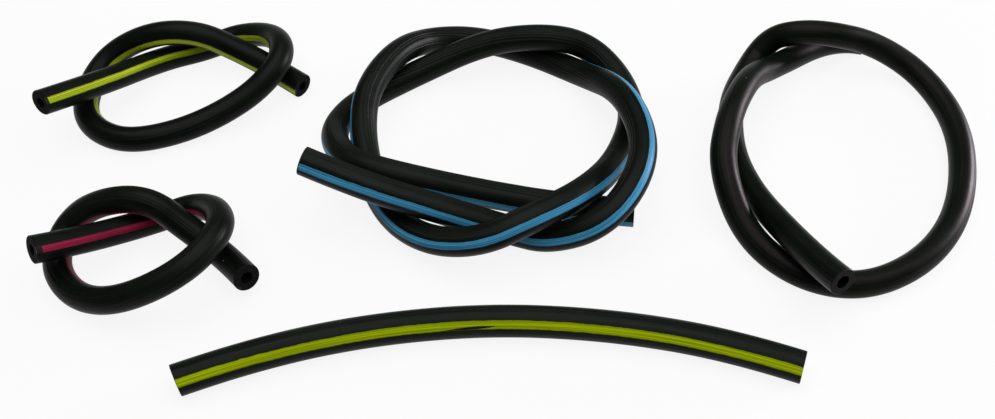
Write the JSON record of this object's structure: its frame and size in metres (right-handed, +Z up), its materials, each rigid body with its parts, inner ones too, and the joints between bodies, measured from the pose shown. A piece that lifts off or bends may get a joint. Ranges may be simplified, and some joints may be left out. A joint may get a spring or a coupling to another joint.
{
  "type": "soaker hose set",
  "caption": "Cut lengths of thick-walled black rubber soaker hose with coloured stripes: knotted, coiled, looped and laid almost straight.",
  "frame": {"origin": "on the ground under the middle of the set", "axes": "+Z up from the ground, +X to the right along the set's longer side, +Y away from the almost straight hose towards the knots, coil and loop"},
  "size_m": [0.5853, 0.2899, 0.0461],
  "materials": {
    "black_rubber": "satin extruded rubber with fine lengthwise die lines",
    "sheen_rubber": "satin extruded rubber with a greyish purple bloom",
    "lime_stripe": "matt coloured rubber let into the wall",
    "red_stripe": "matt coloured rubber let into the wall",
    "blue_stripe": "matt coloured rubber let into the wall"
  },
  "bodies": {
    "blue_coil": {"blue_coil_wall": "black_rubber", "blue_coil_stripe": "blue_stripe"},
    "lime_knot": {"lime_knot_wall": "black_rubber", "lime_knot_stripe": "lime_stripe"},
    "red_knot": {"red_knot_wall": "black_rubber", "red_knot_stripe": "red_stripe"},
    "plain_loop": {"plain_loop_wall": "sheen_rubber"},
    "lime_length": {"lime_length_wall": "black_rubber", "lime_length_stripe": "lime_stripe"}
  },
  "joints": [
    {"name": "lime_knot_lift", "type": "slide", "parent": "blue_coil", "child": "lime_knot", "axis": [0, 0, 1], "range_m": [0, 0.15]},
    {"name": "red_knot_lift", "type": "slide", "parent": "blue_coil", "child": "red_knot", "axis": [0, 0, 1], "range_m": [0, 0.15]},
    {"name": "plain_loop_lift", "type": "slide", "parent": "blue_coil", "child": "plain_loop", "axis": [0, 0, 1], "range_m": [0, 0.15]},
    {"name": "lime_length_lift", "type": "slide", "parent": "blue_coil", "child": "lime_length", "axis": [0, 0, 1], "range_m": [0, 0.15]}
  ]
}
